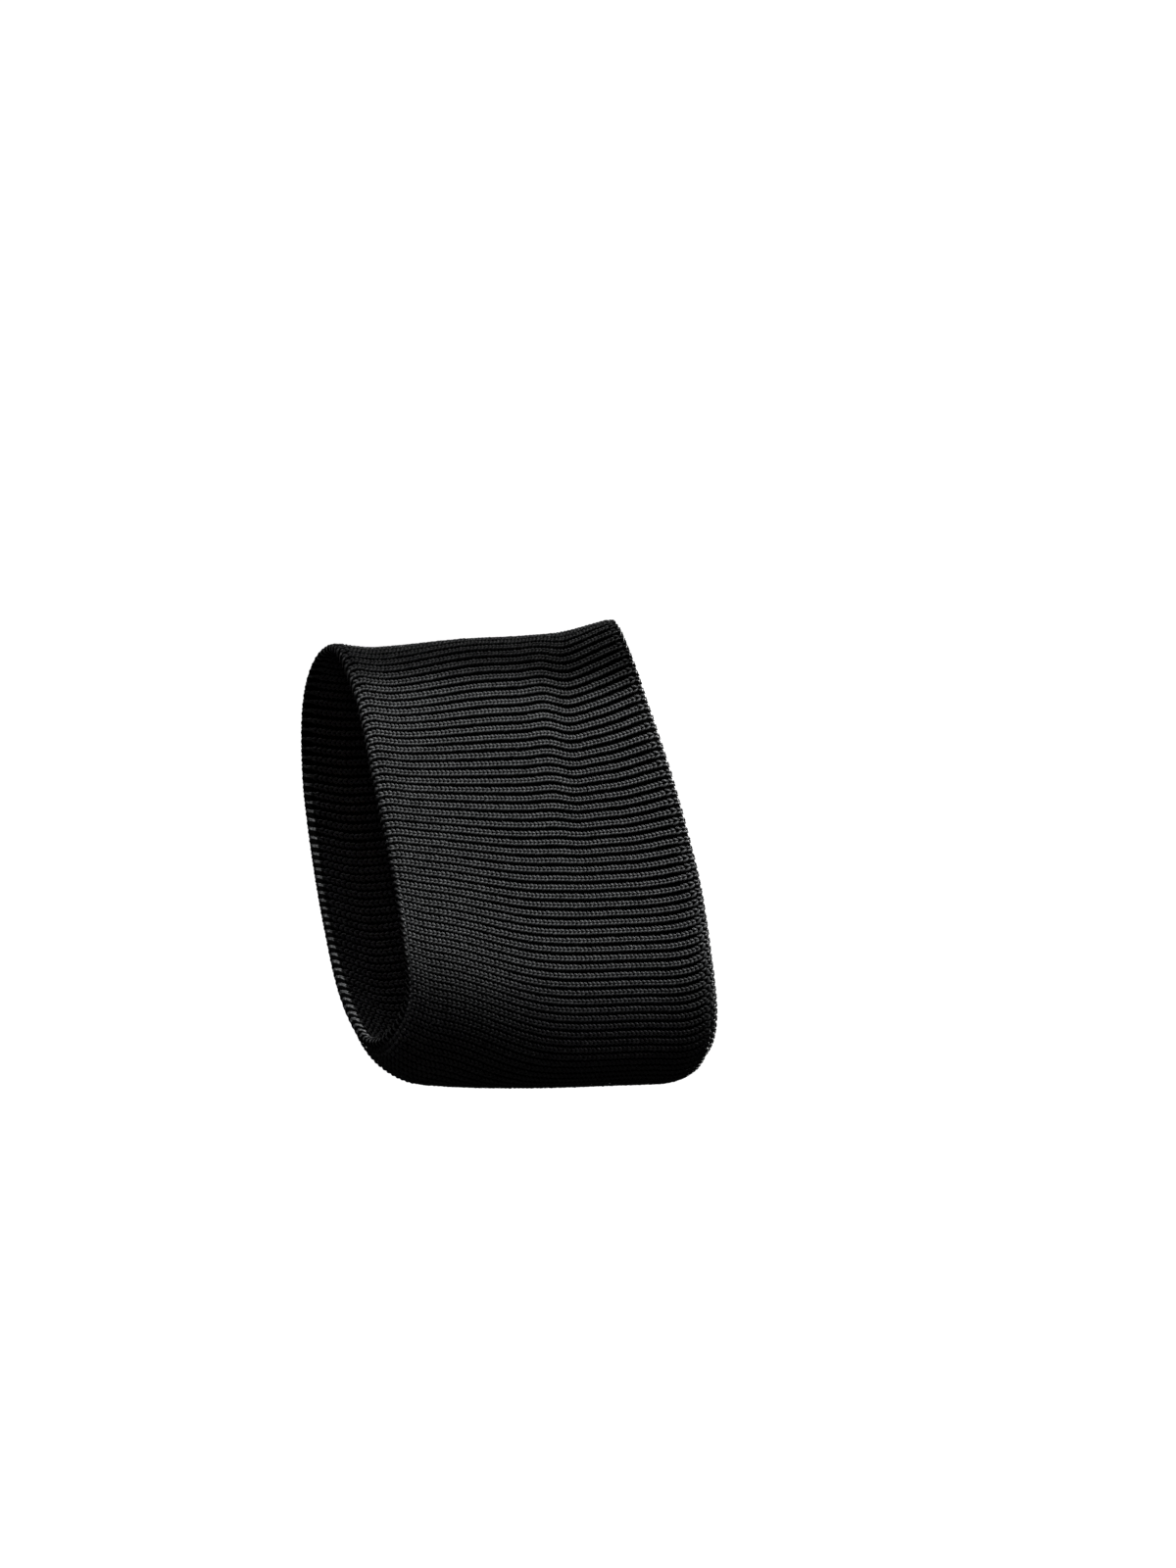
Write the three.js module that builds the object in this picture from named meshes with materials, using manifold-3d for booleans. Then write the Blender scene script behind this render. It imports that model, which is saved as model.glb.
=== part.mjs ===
// Boxing knuckle guard: a doubled rib-knit sleeve that is worn round the palm, with a foam pad in its
// wall over the knuckles. Millimetres. +X runs along the sleeve from the finger rim to the wrist rim, +Z
// points to its upper edge and +Y to its knuckle side. The origin is the middle of the hollow.
import * as THREE from "three";
import Module from "manifold-3d";

// Knit
const RIB_COUNT = 120;
const RIB_RELIEF = 0.7; // a rib's crest above the valleys beside it
const LAYER = 1.2; // one layer of the doubled knit
const WALL = 2 * LAYER; // the doubled wall where it holds no pad
const SLEEVE_LENGTH = 70; // about, from rim to rim
const RIB_PITCH = 2; // about, from rib to rib
const RIM_FOLD = 1.2; // reach of a folded rim past the end of the wall

// Foam pad
const PAD_AT_EDGE = 5.7; // how far it swells the wall at the lower edge
const PAD_AT_BACK = 9.5; // how far it swells the wall on the knuckle side
const SWELL_FINGER = 0.13; // share of the length in which the swelling rises from the finger rim
const SWELL_WRIST = 0.13; // share of the length in which it rises from the wrist rim
const PAD_CLEARANCE = 0.3; // gap between the pad and the knit
const PAD_EDGE = 0.35; // share of the pad's full thickness that its rounded edge keeps
const PAD_RIBS = { first: 56, last: 117, step: 2.44 }; // ribs that the pad lies under
const PAD_ALONG = { first: 0.05, last: 0.97 }; // stretch of the sleeve's length that it fills
const MOUTH_RIBS = { first: 78, last: 100, step: 5.5 }; // the slit in the inner layer for the pad
const MOUTH_ALONG = [0.86, 0.872]; // where that slit runs
const MOUTH_DEPTH = [-0.1, 0.5]; // shares of the wall that it cuts, from inside the hollow to the pocket

// Sections of the hollow. along runs from the finger rim, 0, to the wrist rim, 1. top and bottom
// are heights, palm and back are depths, and lean is the share of the back's depth at which the lowest
// point lies. firstRib is the rib that lies at the top, and palmRibs is the number of ribs from there
// round the palm side to the bottom, so that the ribs fan out to the wrist.
const SECTIONS = [
  { along: 0.0, top: 44.9, bottom: -42.0, palm: 10.5, back: 10.5, lean: 0.15, firstRib: 0.3, palmRibs: 63.9 },
  { along: 0.14, top: 44.0, bottom: -44.5, palm: 11.3, back: 12.0, lean: 0.15, firstRib: 0.1, palmRibs: 65.1 },
  { along: 0.45, top: 45.8, bottom: -45.5, palm: 12.4, back: 13.4, lean: 0.3, firstRib: 1.4, palmRibs: 60.5 },
  { along: 0.8, top: 47.2, bottom: -44.9, palm: 13.6, back: 13.4, lean: 0.4, firstRib: 1.2, palmRibs: 61.3 },
  { along: 1.0, top: 50.3, bottom: -44.4, palm: 15.0, back: 12.5, lean: 0.4, firstRib: 2.1, palmRibs: 59.6 },
];
const SECTION_CENTRE = 2; // height of the sections' middle
const SECTION_POWER = 2.6; // of the superellipse: 2 is an ellipse, more is squarer

// Where the two rims lie along X, at the hours of a clock face that goes round the section: the upper
// edge at 0, the palm side at 3, the lower edge at 6 and the knuckle side at 9.
const RIMS = [
  { hour: 0, finger: -45.5, wrist: 19.3 },
  { hour: 1, finger: -39.0, wrist: 25.2 },
  { hour: 2, finger: -35.2, wrist: 32.0 },
  { hour: 3, finger: -31.6, wrist: 37.5 },
  { hour: 4, finger: -29.0, wrist: 40.7 },
  { hour: 5, finger: -28.2, wrist: 42.2 },
  { hour: 6, finger: -36.3, wrist: 39.0 },
  { hour: 7, finger: -43.5, wrist: 35.2 },
  { hour: 8, finger: -47.5, wrist: 31.6 },
  { hour: 9, finger: -50.4, wrist: 28.0 },
  { hour: 10, finger: -52.4, wrist: 23.6 },
  { hour: 11, finger: -51.6, wrist: 19.4 },
  { hour: 12, finger: -45.5, wrist: 19.3 },
];

// A shallow valley that crosses the palm side. x is where it runs at that height, and sway is how far
// the ribs dip in it.
const VALLEY = [
  { height: -50, x: 13.0, depth: 0.2, sway: 0.0 },
  { height: -5, x: 9.5, depth: 0.8, sway: 0.1 },
  { height: 30, x: 6.5, depth: 1.9, sway: 0.9 },
  { height: 55, x: 4.0, depth: 2.8, sway: 1.1 },
];
const VALLEY_WIDTH = 4.5;

// Facets
const COLUMNS_PER_RIB = 2; // a crest and a valley
const RIBS_PER_HOLLOW_COLUMN = 2;
const SWELL_STEPS = [0, 30, 60, 90]; // degrees on the quarter ellipse of each swelling end
const MIDDLE_ALONGS = [0.35, 0.53, 0.7, 0.82]; // stations between the swelling ends
const HOLLOW_ALONGS = [0.0, 0.14, 0.45, 0.7, 0.85, 1.0]; // stations of the hollow's face
const FOLD_STEPS = [60, 120]; // degrees round a folded rim, from the outside to the hollow
const ARC_SAMPLES = 2880; // steps in which a section's length is measured

const wasm = await Module();
wasm.setup();

const degreesToRadians = THREE.MathUtils.degToRad;

// A column of a short table, read smoothly between its rows: a cubic whose slope at a row is that of
// the line from the row before to the row after. At its ends a loop goes on with its other end.
function readTable(table, key, column, at, isLoop = false) {
  const last = table.length - 1;
  const place = THREE.MathUtils.clamp(at, table[0][key], table[last][key]);
  let row = 0;
  while (row < last - 1 && table[row + 1][key] <= place) row += 1;
  const rowGap = (name, from, to) => table[to][name] - table[from][name];
  const slopeOver = (from, to) => rowGap(column, from, to) / rowGap(key, from, to);
  const slope = (index) => {
    if (isLoop && index % last === 0) return (slopeOver(0, 1) + slopeOver(last - 1, last)) / 2;
    return slopeOver(Math.max(index - 1, 0), Math.min(index + 1, last));
  };
  const gap = rowGap(key, row, row + 1);
  const t = (place - table[row][key]) / gap;
  const rise = t * t * (3 - 2 * t);
  const start = t * (1 - t) * (1 - t) * gap * slope(row);
  const end = t * t * (1 - t) * gap * slope(row + 1);
  return table[row][column] * (1 - rise) + table[row + 1][column] * rise + start - end;
}

// How far the pad swells the wall at a place along the sleeve, 0 to 1: a quarter ellipse at each end.
function swelling(along) {
  const finger = Math.min(along / SWELL_FINGER, 1);
  const wrist = Math.min((1 - along) / SWELL_WRIST, 1);
  return Math.sqrt(1 - (1 - finger) ** 2) * Math.sqrt(1 - (1 - wrist) ** 2);
}

// One cross-section of the sleeve's wall.
class Station {
  constructor(along) {
    this.along = along;
    this.section = {};
    for (const column of ["top", "bottom", "palm", "back", "lean", "firstRib", "palmRibs"]) {
      this.section[column] = readTable(SECTIONS, "along", column, along);
    }
    this.measureArcs();
  }

  // Depth y and height z at an angle on the section's four quarter superellipses, of which the two lower
  // ones meet further back, by the lean. share is 0 on the hollow and 1 outside.
  curve(degrees, share, swell) {
    const { top, bottom, palm, back, lean } = this.section;
    const angle = degreesToRadians(degrees);
    const round = (value) => Math.sign(value) * Math.abs(value) ** (2 / SECTION_POWER);
    const up = round(Math.cos(angle));
    const front = round(Math.sin(angle));
    const topReach = top - SECTION_CENTRE + WALL * share;
    const bottomReach = SECTION_CENTRE - bottom + (WALL + PAD_AT_EDGE * swell) * share;
    const palmReach = palm + WALL * share;
    const backReach = back + (WALL + PAD_AT_BACK * swell) * share;
    const middle = up < 0 ? lean * backReach : 0;
    return {
      y: middle - front * (front > 0 ? palmReach + middle : backReach - middle),
      z: SECTION_CENTRE + up * (up > 0 ? topReach : bottomReach),
      front,
    };
  }

  // Length round the fully padded section, by which the ribs are spread.
  measureArcs() {
    this.arcs = [0];
    let before = this.curve(0, 1, 1);
    for (let step = 1; step <= ARC_SAMPLES; step += 1) {
      const next = this.curve((360 * step) / ARC_SAMPLES, 1, 1);
      this.arcs.push(this.arcs[step - 1] + Math.hypot(next.y - before.y, next.z - before.z));
      before = next;
    }
  }

  // Hour of a rib. The palm's ribs share the palm half evenly, and the others the back half.
  hourOf(rib) {
    const { firstRib, palmRibs } = this.section;
    const number = THREE.MathUtils.euclideanModulo(rib - firstRib, RIB_COUNT);
    if (number < palmRibs) return (6 * number) / palmRibs;
    return 6 + (6 * (number - palmRibs)) / (RIB_COUNT - palmRibs);
  }

  // Angle of an hour, found by the length round the section.
  degreesOf(hour) {
    const palmArc = this.arcs[ARC_SAMPLES / 2];
    const backArc = this.arcs[ARC_SAMPLES] - palmArc;
    const arc = hour < 6 ? (palmArc * hour) / 6 : palmArc + (backArc * (hour - 6)) / 6;
    let step = 0;
    while (step < ARC_SAMPLES - 1 && this.arcs[step + 1] < arc) step += 1;
    const part = (arc - this.arcs[step]) / (this.arcs[step + 1] - this.arcs[step]);
    return (360 * (step + part)) / ARC_SAMPLES;
  }

  // A point of the wall on a rib, from the hollow, share 0, to the outside, share 1.
  point(rib, share) {
    const hour = this.hourOf(rib);
    const { y, z, front } = this.curve(this.degreesOf(hour), share, swelling(this.along));
    const finger = readTable(RIMS, "hour", "finger", hour, true) + RIM_FOLD;
    const wrist = readTable(RIMS, "hour", "wrist", hour, true) - RIM_FOLD;
    const place = new THREE.Vector3(THREE.MathUtils.lerp(finger, wrist, this.along), y, z);
    const across = (place.x - readTable(VALLEY, "height", "x", z)) / VALLEY_WIDTH;
    const bell = Math.max(front, 0) * Math.exp(-across * across);
    place.y += bell * readTable(VALLEY, "height", "depth", z);
    place.z -= bell * across * 2 * readTable(VALLEY, "height", "sway", z);
    return place;
  }

  // Direction out of the wall, square to the section's curve.
  outward(rib) {
    const round = this.point(rib + 0.5, 1).sub(this.point(rib - 0.5, 1));
    return new THREE.Vector3(0, round.z, -round.y).normalize();
  }

  // Thickness of the wall, square to its outside.
  thickness(rib) {
    return this.point(rib, 1).sub(this.point(rib, 0)).dot(this.outward(rib));
  }
}

function stationsAt(alongs) {
  return alongs.map((along) => new Station(along));
}

const quarterEllipse = SWELL_STEPS.map((step) => 1 - Math.cos(degreesToRadians(step)));
const outerAlongs = [
  ...quarterEllipse.map((share) => share * SWELL_FINGER),
  ...MIDDLE_ALONGS,
  ...quarterEllipse.map((share) => 1 - share * SWELL_WRIST).reverse(),
];

// Half of the ribs' relief, out on a crest and in on a valley.
function relief(column) {
  return column % COLUMNS_PER_RIB === 0 ? RIB_RELIEF / 2 : -RIB_RELIEF / 2;
}

// The ribbed outside of a station.
function outerRing(station) {
  return Array.from({ length: RIB_COUNT * COLUMNS_PER_RIB }, (_, column) => {
    const rib = column / COLUMNS_PER_RIB;
    return station.point(rib, 1).addScaledVector(station.outward(rib), relief(column));
  });
}

// The ribs going round a folded rim. side is -1 at the finger rim and 1 at the wrist rim.
function foldRing(station, side, degrees) {
  const angle = degreesToRadians(degrees);
  return Array.from({ length: RIB_COUNT * COLUMNS_PER_RIB }, (_, column) => {
    const rib = column / COLUMNS_PER_RIB;
    const outside = station.point(rib, 1);
    const inside = station.point(rib, 0);
    const place = outside.clone().add(inside).multiplyScalar(0.5);
    const fade = Math.cos(angle / 2) ** 2;
    const lift = relief(column) * fade;
    place.addScaledVector(outside.sub(inside), Math.cos(angle) / 2);
    place.addScaledVector(station.outward(rib), lift * Math.cos(angle));
    place.x += side * Math.sin(angle) * (RIM_FOLD + lift);
    return place;
  });
}

// The plain face of the hollow at a station.
function hollowRing(station) {
  const count = RIB_COUNT / RIBS_PER_HOLLOW_COLUMN;
  return Array.from({ length: count }, (_, column) => station.point(column * RIBS_PER_HOLLOW_COLUMN, 0));
}

// Triangles between two closed rings, where the finer ring has a whole number of points for each point
// of the coarser one.
function ringStrip(first, second, triangles) {
  const steps = Math.max(first.count, second.count);
  const at = (ring, step) => ring.start + (Math.floor((step * ring.count) / steps) % ring.count);
  for (let step = 0; step < steps; step += 1) {
    const corners = [at(first, step), at(second, step), at(second, step + 1), at(first, step + 1)];
    if (corners[1] !== corners[2]) triangles.push(corners[0], corners[2], corners[1]);
    if (corners[0] !== corners[3]) triangles.push(corners[0], corners[3], corners[2]);
  }
}

function toSolid(points, triangles) {
  const vertProperties = new Float32Array(points.flatMap((point) => point.toArray()));
  const triVerts = new Uint32Array(triangles);
  return new wasm.Manifold(new wasm.Mesh({ numProp: 3, vertProperties, triVerts }));
}

// A closed body through a loop of rings, the last of which joins the first.
function ringBody(rings) {
  const points = [];
  const triangles = [];
  const spans = rings.map((ring) => {
    const span = { start: points.length, count: ring.length };
    points.push(...ring);
    return span;
  });
  spans.forEach((span, index) => ringStrip(span, spans[(index + 1) % spans.length], triangles));
  return toSolid(points, triangles);
}

// A closed body inside the wall: a patch of ribs and stations between a lower and an upper share of the
// wall's thickness, which band gives for each place.
function wallPatch(ribs, stations, band) {
  const points = [];
  const triangles = [];
  const columns = ribs.length;
  stations.forEach((station, row) => {
    ribs.forEach((rib, column) => {
      const [lower, upper] = band(station, rib, row, column);
      points.push(station.point(rib, lower), station.point(rib, upper));
    });
  });
  const at = (row, column, level) => 2 * (row * columns + column) + level;
  const quad = (a, b, c, d) => triangles.push(a, c, b, a, d, c);
  const end = stations.length - 1;
  const side = columns - 1;
  for (let row = 0; row < end; row += 1) {
    for (let column = 0; column < side; column += 1) {
      quad(at(row, column, 1), at(row + 1, column, 1), at(row + 1, column + 1, 1), at(row, column + 1, 1));
      quad(at(row, column, 0), at(row, column + 1, 0), at(row + 1, column + 1, 0), at(row + 1, column, 0));
    }
    quad(at(row, 0, 0), at(row + 1, 0, 0), at(row + 1, 0, 1), at(row, 0, 1));
    quad(at(row, side, 0), at(row, side, 1), at(row + 1, side, 1), at(row + 1, side, 0));
  }
  for (let column = 0; column < side; column += 1) {
    quad(at(0, column, 0), at(0, column, 1), at(0, column + 1, 1), at(0, column + 1, 0));
    quad(at(end, column, 0), at(end, column + 1, 0), at(end, column + 1, 1), at(end, column, 1));
  }
  return toSolid(points, triangles);
}

function ribRange({ first, last, step }) {
  const count = Math.round((last - first) / step);
  return Array.from({ length: count + 1 }, (_, index) => first + index * step);
}

// The pad, or the pocket for it when spare is the clearance round it.
function padBody(spare) {
  const ribs = ribRange(PAD_RIBS);
  ribs[0] -= spare / RIB_PITCH;
  ribs[ribs.length - 1] += spare / RIB_PITCH;
  const { first, last } = PAD_ALONG;
  const between = outerAlongs.filter((along) => along > first && along < last);
  const spareAlong = spare / SLEEVE_LENGTH;
  const stations = stationsAt([first - spareAlong, ...between, last + spareAlong]);
  return wallPatch(ribs, stations, (station, rib, row, column) => {
    const thickness = station.thickness(rib);
    const isEdge = row % (stations.length - 1) === 0 || column % (ribs.length - 1) === 0;
    const full = thickness - 2 * (LAYER + PAD_CLEARANCE);
    const height = (isEdge ? PAD_EDGE : 1) * full + 2 * spare;
    return [0.5 - height / thickness / 2, 0.5 + height / thickness / 2];
  });
}

function namedMesh(name, solid, material) {
  const { vertProperties, triVerts } = solid.getMesh();
  const geometry = new THREE.BufferGeometry();
  geometry.setAttribute("position", new THREE.BufferAttribute(vertProperties, 3));
  geometry.setIndex(new THREE.BufferAttribute(triVerts, 1));
  geometry.computeVertexNormals();
  const mesh = new THREE.Mesh(geometry, material);
  mesh.name = name;
  return mesh;
}

const elasticKnit = new THREE.MeshStandardMaterial({ color: "#2a2b2c", roughness: 0.9, metalness: 0 });
const paddingFoam = new THREE.MeshStandardMaterial({ color: "#4a4a4c", roughness: 0.95, metalness: 0 });

const [fingerRim, wristRim] = stationsAt([0, 1]);
const sleeveBody = ringBody([
  ...stationsAt(outerAlongs).map(outerRing),
  ...FOLD_STEPS.map((degrees) => foldRing(wristRim, 1, degrees)),
  ...stationsAt(HOLLOW_ALONGS).reverse().map(hollowRing),
  ...FOLD_STEPS.toReversed().map((degrees) => foldRing(fingerRim, -1, degrees)),
]);
const mouth = wallPatch(ribRange(MOUTH_RIBS), stationsAt(MOUTH_ALONG), () => MOUTH_DEPTH);
const pocket = padBody(PAD_CLEARANCE).add(mouth);

const guard = new THREE.Group();
guard.add(namedMesh("knit_sleeve", sleeveBody.subtract(pocket), elasticKnit));
guard.add(namedMesh("knuckle_pad", padBody(0), paddingFoam));

export default guard;
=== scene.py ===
# %% [markdown]
# # A boxing knuckle guard, knitted in Blender
#
# A knuckle guard is an elastic tube of black rib knit. It is folded double, so that both of its rims are
# soft folds, and it is worn round the palm with a foam pad between its layers, over the knuckles.
# The CAD model holds its worn form. This lesson knits that form: it finds the way of every rib round the
# wall, lays a dark ground under the ribs, and then sets a pair of yarn legs for each stitch.

import bpy
import numpy as np
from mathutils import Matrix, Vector


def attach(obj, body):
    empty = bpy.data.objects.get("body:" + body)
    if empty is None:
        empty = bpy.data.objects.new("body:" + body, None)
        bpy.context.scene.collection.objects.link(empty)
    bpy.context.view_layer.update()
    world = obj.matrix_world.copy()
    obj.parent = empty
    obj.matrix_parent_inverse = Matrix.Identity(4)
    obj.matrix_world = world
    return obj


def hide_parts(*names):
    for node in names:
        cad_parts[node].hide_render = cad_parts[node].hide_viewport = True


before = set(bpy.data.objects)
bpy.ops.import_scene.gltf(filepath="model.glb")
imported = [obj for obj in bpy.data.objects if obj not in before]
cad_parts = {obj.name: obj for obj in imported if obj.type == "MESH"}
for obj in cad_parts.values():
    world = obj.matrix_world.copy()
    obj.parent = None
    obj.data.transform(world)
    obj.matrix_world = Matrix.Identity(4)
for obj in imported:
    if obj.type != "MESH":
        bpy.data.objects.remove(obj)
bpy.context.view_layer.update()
print("CAD nodes:", sorted(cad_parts))

# %% [markdown]
# ## The worn form
#
# The guard has the shape that it takes when worn: flat on the palm side, round at both edges, and swollen
# by the pad on the knuckle side and the lower edge. A sculpted mesh would hold that shape too, but the
# ribs have to run along it exactly, so it is written as a formula of two numbers instead: the rib, and
# the place on that rib's way. The short tables are those of the CAD model, in millimetres.

# %% Sizes in millimetres
MM = 0.001
RIBS = 120
LAYER = 1.2  # one layer of knit
WALL = 2 * LAYER
RIM_FOLD = 1.2  # reach of a folded rim past the end of the wall
PAD_AT_EDGE = 5.7  # how far the pad swells the wall at the lower edge
PAD_AT_BACK = 9.5  # how far it swells the wall on the knuckle side
SWELL_SHARE = 0.13  # share of the length in which the swelling rises from either rim
SECTION_CENTRE = 2.0  # height of the sections' middle
SECTION_POWER = 2.6  # of the superellipse: 2 is an ellipse, more is squarer
VALLEY_WIDTH = 4.5

# Sections of the hollow, from the finger rim, 0, to the wrist rim, 1. lean is the share of the
# back's depth at which the lowest point lies. first_rib lies at the top, and palm_ribs is the number of
# ribs from there round the palm side to the bottom.
SECTIONS = {
    "along": [0.0, 0.14, 0.45, 0.8, 1.0],
    "top": [44.9, 44.0, 45.8, 47.2, 50.3],
    "bottom": [-42.0, -44.5, -45.5, -44.9, -44.4],
    "palm": [10.5, 11.3, 12.4, 13.6, 15.0],
    "back": [10.5, 12.0, 13.4, 13.4, 12.5],
    "lean": [0.15, 0.15, 0.3, 0.4, 0.4],
    "first_rib": [0.3, 0.1, 1.4, 1.2, 2.1],
    "palm_ribs": [63.9, 65.1, 60.5, 61.3, 59.6],
}
# Where the rims lie along X, by the hours of a clock face that goes round the section: the upper edge at
# 0, the palm side at 3, the lower edge at 6 and the knuckle side at 9.
RIMS = {
    "hour": [0, 1, 2, 3, 4, 5, 6, 7, 8, 9, 10, 11, 12],
    "finger": [-45.5, -39, -35.2, -31.6, -29, -28.2, -36.3, -43.5, -47.5, -50.4, -52.4, -51.6, -45.5],
    "wrist": [19.3, 25.2, 32, 37.5, 40.7, 42.2, 39, 35.2, 31.6, 28, 23.6, 19.4, 19.3],
}
# A shallow valley across the palm side. x is where it runs, and sway is how far the ribs dip in it.
VALLEY = {
    "height": [-50, -5, 30, 55],
    "x": [13.0, 9.5, 6.5, 4.0],
    "depth": [0.2, 0.8, 1.9, 2.8],
    "sway": [0.0, 0.1, 0.9, 1.1],
}


# %% Read a table, and work out a section
def read_table(table, key, column, at, loop=False):
    """A cubic between rows, whose slope at a row is that of the line from the row before to the next."""
    keys = np.array(table[key], float)
    values = np.array(table[column], float)
    before = np.maximum(np.arange(len(keys)) - 1, 0)
    after = np.minimum(np.arange(len(keys)) + 1, len(keys) - 1)
    slopes = (values[after] - values[before]) / (keys[after] - keys[before])
    if loop:
        slopes[[0, -1]] = (slopes[0] + slopes[-1]) / 2
    place = np.clip(at, keys[0], keys[-1])
    row = np.clip(np.searchsorted(keys, place, side="right") - 1, 0, len(keys) - 2)
    gap = keys[row + 1] - keys[row]
    t = (place - keys[row]) / gap
    rise = t * t * (3 - 2 * t)
    start = t * (1 - t) ** 2 * gap * slopes[row]
    end = t * t * (1 - t) * gap * slopes[row + 1]
    return values[row] * (1 - rise) + values[row + 1] * rise + start - end


def swelling(along):
    """How far the pad swells the wall, 0 to 1: a quarter ellipse at each end of the sleeve."""
    finger = np.clip(along / SWELL_SHARE, 0, 1)
    wrist = np.clip((1 - along) / SWELL_SHARE, 0, 1)
    return np.sqrt(1 - (1 - finger) ** 2) * np.sqrt(1 - (1 - wrist) ** 2)


def section(angle, along, share, swell):
    """Depth, height and frontness on four quarter superellipses: cosine and sine of the angle, each to
    the power of 2 over SECTION_POWER, times the reach on that side. share is 0 on the hollow, 1 outside."""
    def size(column):
        return read_table(SECTIONS, "along", column, along)

    up, front = (np.sign(v) * np.abs(v) ** (2 / SECTION_POWER) for v in (np.cos(angle), np.sin(angle)))
    top = size("top") - SECTION_CENTRE + WALL * share
    bottom = SECTION_CENTRE - size("bottom") + (WALL + PAD_AT_EDGE * swell) * share
    palm = size("palm") + WALL * share
    back = size("back") + (WALL + PAD_AT_BACK * swell) * share
    middle = np.where(up < 0, size("lean") * back, 0.0)
    depth = middle - front * np.where(front > 0, palm + middle, back - middle)
    return depth, SECTION_CENTRE + up * np.where(up > 0, top, bottom), front


# %% Find a rib on the wall
ARC_SAMPLES = 2880  # steps in which a section's length is measured


def hour_of(rib, along):
    """The palm's ribs share the palm half of the clock evenly, and the others the back half."""
    palm_ribs = read_table(SECTIONS, "along", "palm_ribs", along)
    number = (rib - read_table(SECTIONS, "along", "first_rib", along)) % RIBS
    back_hour = 6 + 6 * (number - palm_ribs) / (RIBS - palm_ribs)
    return np.where(number < palm_ribs, 6 * number / palm_ribs, back_hour)


def angle_of(hour, along):
    """The angle whose length round the fully padded section is the hour's share of its half."""
    angles = np.linspace(0, 2 * np.pi, ARC_SAMPLES + 1)
    depth, height, _ = section(angles, along, 1.0, 1.0)
    steps = np.hypot(np.diff(depth, axis=1), np.diff(height, axis=1))
    runs = np.pad(np.cumsum(steps, axis=1), ((0, 0), (1, 0)))
    half = runs[:, [ARC_SAMPLES // 2]]
    arcs = np.where(hour < 6, half * hour / 6, half + (runs[:, [-1]] - half) * (hour - 6) / 6)
    return np.stack([np.interp(arc, run, angles) for arc, run in zip(arcs, runs)])


def wall_points(rib, along, share):
    """Points of the wall for a row of places along and a column for each rib: the section gives depth
    and height, a line between the two rims gives x, and the valley's bell presses the palm side in."""
    hour = hour_of(rib, along)
    depth, height, front = section(angle_of(hour, along), along, share, swelling(along))
    finger = read_table(RIMS, "hour", "finger", hour, loop=True) + RIM_FOLD
    wrist = read_table(RIMS, "hour", "wrist", hour, loop=True) - RIM_FOLD
    x = finger + (wrist - finger) * along
    across = (x - read_table(VALLEY, "height", "x", height)) / VALLEY_WIDTH
    bell = np.maximum(front, 0) * np.exp(-across * across)
    depth = depth + bell * read_table(VALLEY, "height", "depth", height)
    height = height - bell * across * 2 * read_table(VALLEY, "height", "sway", height)
    return np.stack([x, depth, height], axis=-1)


# %% [markdown]
# ## The way of a rib
#
# On the real guard one rib runs along the outside, over the wrist fold, back along the hollow and over the
# finger fold, so its way is a closed loop. Every rib has the same number of stitches, because the tube was
# knitted course by course, so the courses are spread by length along each rib: the knit is stretched a
# little over the pad, as cloth is. Next to the finger rim the folded edge pulls the ribs askew.

# %% Go round the wall
COLUMNS = 4  # places across a rib
STEPS = 6  # places along a course of stitches
RIB_PITCH = 2.0  # mm, about
SLEEVE_LENGTH = 70.0  # mm, about
SKEW_REACH = 3.0  # mm from the finger rim in which the ribs turn askew
# How they turn, by the hours of the clock face: lean is their slope at the rim, towards the later hours,
# and past_rim is their slope on the fold. Over the start of the pad the lean keeps them straight.
SKEW = {
    "hour": [0, 1, 2, 3, 3.6, 4.2, 4.8, 5.4, 6, 7, 10, 11, 12],
    "lean": [0.8, 0.65, 0.47, 0.36, 0.4, 0.8, 1.2, 1.1, 0.6, 0, 0, 0.4, 0.8],
    "past_rim": [0.8, 0.65, 0.47, 0.36, 0.2, 0, 0, 0, 0, 0, 0, 0.4, 0.8],
}


def fold_points(rib, along, turn, reach):
    """A half round between the outside, turn 0, and the hollow, turn pi, reaching out past the wall."""
    outside = wall_points(rib, along, 1.0)
    inside = wall_points(rib, along, 0.0)
    points = (outside + inside) / 2 + (outside - inside) / 2 * np.cos(turn)[..., None]
    points[..., 0] += reach * np.sin(turn)
    return points


def skewed(rib, inside_rim):
    """The rib's number, moved round the finger rim: by the square of the way into the bend, and past the
    rim in proportion to the way. inside_rim is the distance in mm from the rim, less than 0 past it."""
    hour = hour_of(rib, np.zeros_like(inside_rim))
    lean, past_rim = (read_table(SKEW, "hour", column, hour, loop=True) for column in ("lean", "past_rim"))
    bent = np.clip(SKEW_REACH - inside_rim, 0, SKEW_REACH)
    moved = lean * bent * bent / (2 * SKEW_REACH) + past_rim * np.maximum(-inside_rim, 0)
    return rib + moved / RIB_PITCH


def ways_round(ribs, rows=241, fold_rows=33):
    """Four stretches of each rib's loop: outside, wrist fold, hollow and finger fold."""
    rib = np.asarray(ribs, float)[None, :]
    along = ((1 - np.cos(np.linspace(0, np.pi, rows))) / 2)[:, None]
    turn = np.linspace(0, np.pi, fold_rows)[:, None]
    first, last = np.zeros_like(turn), np.ones_like(turn)
    fold_way = RIM_FOLD * turn
    outside = wall_points(skewed(rib, along * SLEEVE_LENGTH), along, 1.0)
    wrist_fold = fold_points(rib, last, turn, RIM_FOLD)
    fading = (1 - along) ** 2
    shifted = rib + (skewed(rib, -fold_way[-1] * np.ones_like(along)) - rib) * fading
    hollow = wall_points(shifted, along, 0.0)[::-1]
    finger_fold = fold_points(skewed(rib, -fold_way), first, turn, -RIM_FOLD)[::-1]
    return outside, wrist_fold, hollow, finger_fold


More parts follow.
